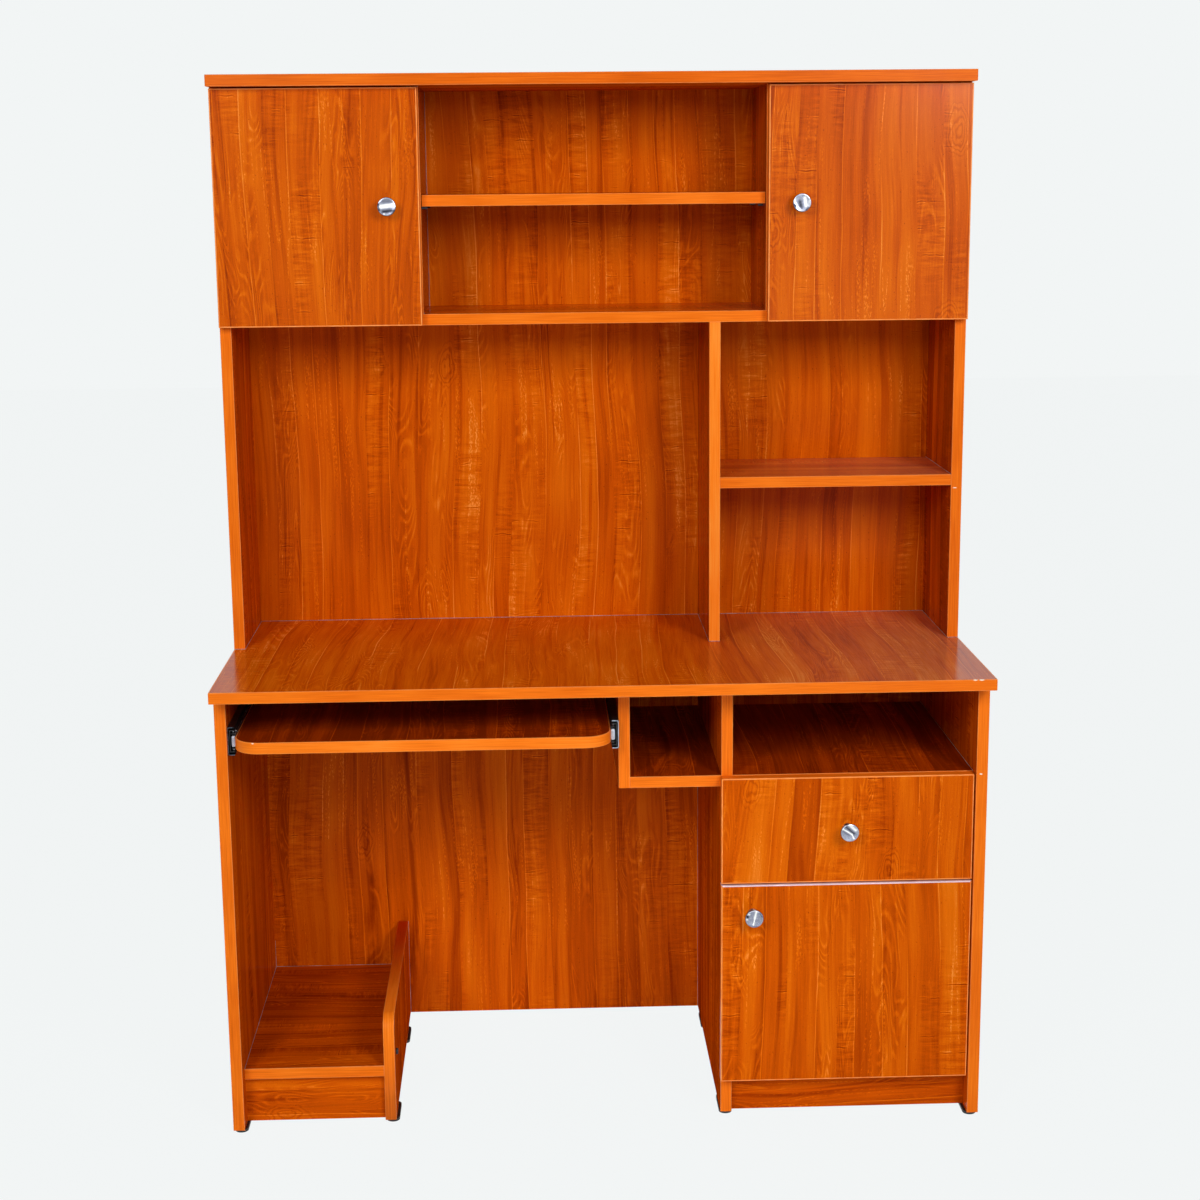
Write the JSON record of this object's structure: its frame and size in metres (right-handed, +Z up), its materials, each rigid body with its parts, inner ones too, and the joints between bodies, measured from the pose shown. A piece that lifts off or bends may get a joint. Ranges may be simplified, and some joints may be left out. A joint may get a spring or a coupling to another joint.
{
  "type": "study desk",
  "caption": "Study desk of woodgrain laminate with a sliding keyboard tray, a drawer and cupboard pedestal, a computer bay, and a hutch with doors and open shelves.",
  "frame": {"origin": "on the floor, under the middle of the desk's outline", "axes": "+Z up, -Y towards the sitter, +X to the sitter's right"},
  "size_m": [1.2, 0.53, 1.6555],
  "materials": {
    "woodgrain_laminate": "orange-brown woodgrain laminate with plain orange edge bands, semi-gloss",
    "drawer_board": "orange-brown woodgrain laminate",
    "hardboard": "thin faced hardboard",
    "glide_plastic": "black moulded plastic",
    "black_slide_steel": "black coated sheet steel",
    "bright_slide_steel": "zinc-plated steel",
    "knob_steel": "brushed nickel",
    "plated_fittings": "zinc-plated",
    "dowel_wood": "bare birch"
  },
  "bodies": {
    "carcass": {"worktop": "woodgrain_laminate", "desk_side_left": "woodgrain_laminate", "desk_side_right": "woodgrain_laminate", "pedestal_partition": "woodgrain_laminate", "lower_back_panel": "woodgrain_laminate", "cpu_divider": "woodgrain_laminate", "cpu_shelf": "woodgrain_laminate", "cpu_plinth": "woodgrain_laminate", "cubby_wall": "woodgrain_laminate", "cubby_floor": "woodgrain_laminate", "pedestal_shelf": "woodgrain_laminate", "pedestal_floor": "woodgrain_laminate", "pedestal_plinth": "woodgrain_laminate", "hutch_side_left": "woodgrain_laminate", "hutch_side_right": "woodgrain_laminate", "hutch_back_panel": "woodgrain_laminate", "hutch_top": "woodgrain_laminate", "cabinet_floor": "woodgrain_laminate", "cabinet_partition_left": "woodgrain_laminate", "cabinet_partition_right": "woodgrain_laminate", "hutch_divider": "woodgrain_laminate", "hutch_shelf": "woodgrain_laminate", "middle_shelf": "woodgrain_laminate", "glides": "glide_plastic", "tray_slide_outer_left": "black_slide_steel", "tray_slide_outer_right": "black_slide_steel", "drawer_slide_outer_left": "black_slide_steel", "drawer_slide_outer_right": "black_slide_steel", "hinge_arms": "plated_fittings", "cam_locks": "plated_fittings", "cam_bolts": "plated_fittings", "back_screws": "plated_fittings", "shelf_pins": "plated_fittings", "dowels": "dowel_wood"},
    "keyboard_tray": {"keyboard_tray": "woodgrain_laminate", "tray_slide_inner_left": "bright_slide_steel", "tray_slide_inner_right": "bright_slide_steel"},
    "tray_slide_middle": {"tray_slide_middle_left": "black_slide_steel", "tray_slide_middle_right": "black_slide_steel", "tray_slide_balls": "bright_slide_steel"},
    "drawer": {"drawer_front": "woodgrain_laminate", "drawer_side_left": "drawer_board", "drawer_side_right": "drawer_board", "drawer_back": "drawer_board", "drawer_bottom": "hardboard", "drawer_slide_inner_left": "bright_slide_steel", "drawer_slide_inner_right": "bright_slide_steel", "knob_drawer": "knob_steel"},
    "drawer_slide_middle": {"drawer_slide_middle_left": "black_slide_steel", "drawer_slide_middle_right": "black_slide_steel", "drawer_slide_balls": "bright_slide_steel"},
    "pedestal_door": {"pedestal_door": "woodgrain_laminate", "hinge_cups_pedestal": "plated_fittings", "knob_pedestal": "knob_steel"},
    "upper_door_left": {"upper_door_left": "woodgrain_laminate", "hinge_cups_upper_left": "plated_fittings", "knob_upper_left": "knob_steel"},
    "upper_door_right": {"upper_door_right": "woodgrain_laminate", "hinge_cups_upper_right": "plated_fittings", "knob_upper_right": "knob_steel"}
  },
  "joints": [
    {"name": "tray_slide", "type": "slide", "parent": "carcass", "child": "keyboard_tray", "axis": [0, -1, 0], "range_m": [0, 0.3]},
    {"name": "tray_middle_slide", "type": "slide", "parent": "carcass", "child": "tray_slide_middle", "axis": [0, -1, 0], "range_m": [0, 0.15]},
    {"name": "drawer_slide", "type": "slide", "parent": "carcass", "child": "drawer", "axis": [0, -1, 0], "range_m": [0, 0.35]},
    {"name": "drawer_middle_slide", "type": "slide", "parent": "carcass", "child": "drawer_slide_middle", "axis": [0, -1, 0], "range_m": [0, 0.175]},
    {"name": "pedestal_door_hinge", "type": "hinge", "parent": "carcass", "child": "pedestal_door", "pos_m": [0.58, -0.2105, 0.2315], "axis": [0, 0, 1], "range_deg": [0, 100]},
    {"name": "upper_left_door_hinge", "type": "hinge", "parent": "carcass", "child": "upper_door_left", "pos_m": [-0.5979, 0.0296, 1.45075], "axis": [0, 0, -1], "range_deg": [0, 105]},
    {"name": "upper_right_door_hinge", "type": "hinge", "parent": "carcass", "child": "upper_door_right", "pos_m": [0.5979, 0.0296, 1.45075], "axis": [0, 0, 1], "range_deg": [0, 105]}
  ],
  "couplings": [
    {"joint": "tray_middle_slide", "follows": "tray_slide", "ratio": 0.5},
    {"joint": "drawer_middle_slide", "follows": "drawer_slide", "ratio": 0.5}
  ]
}
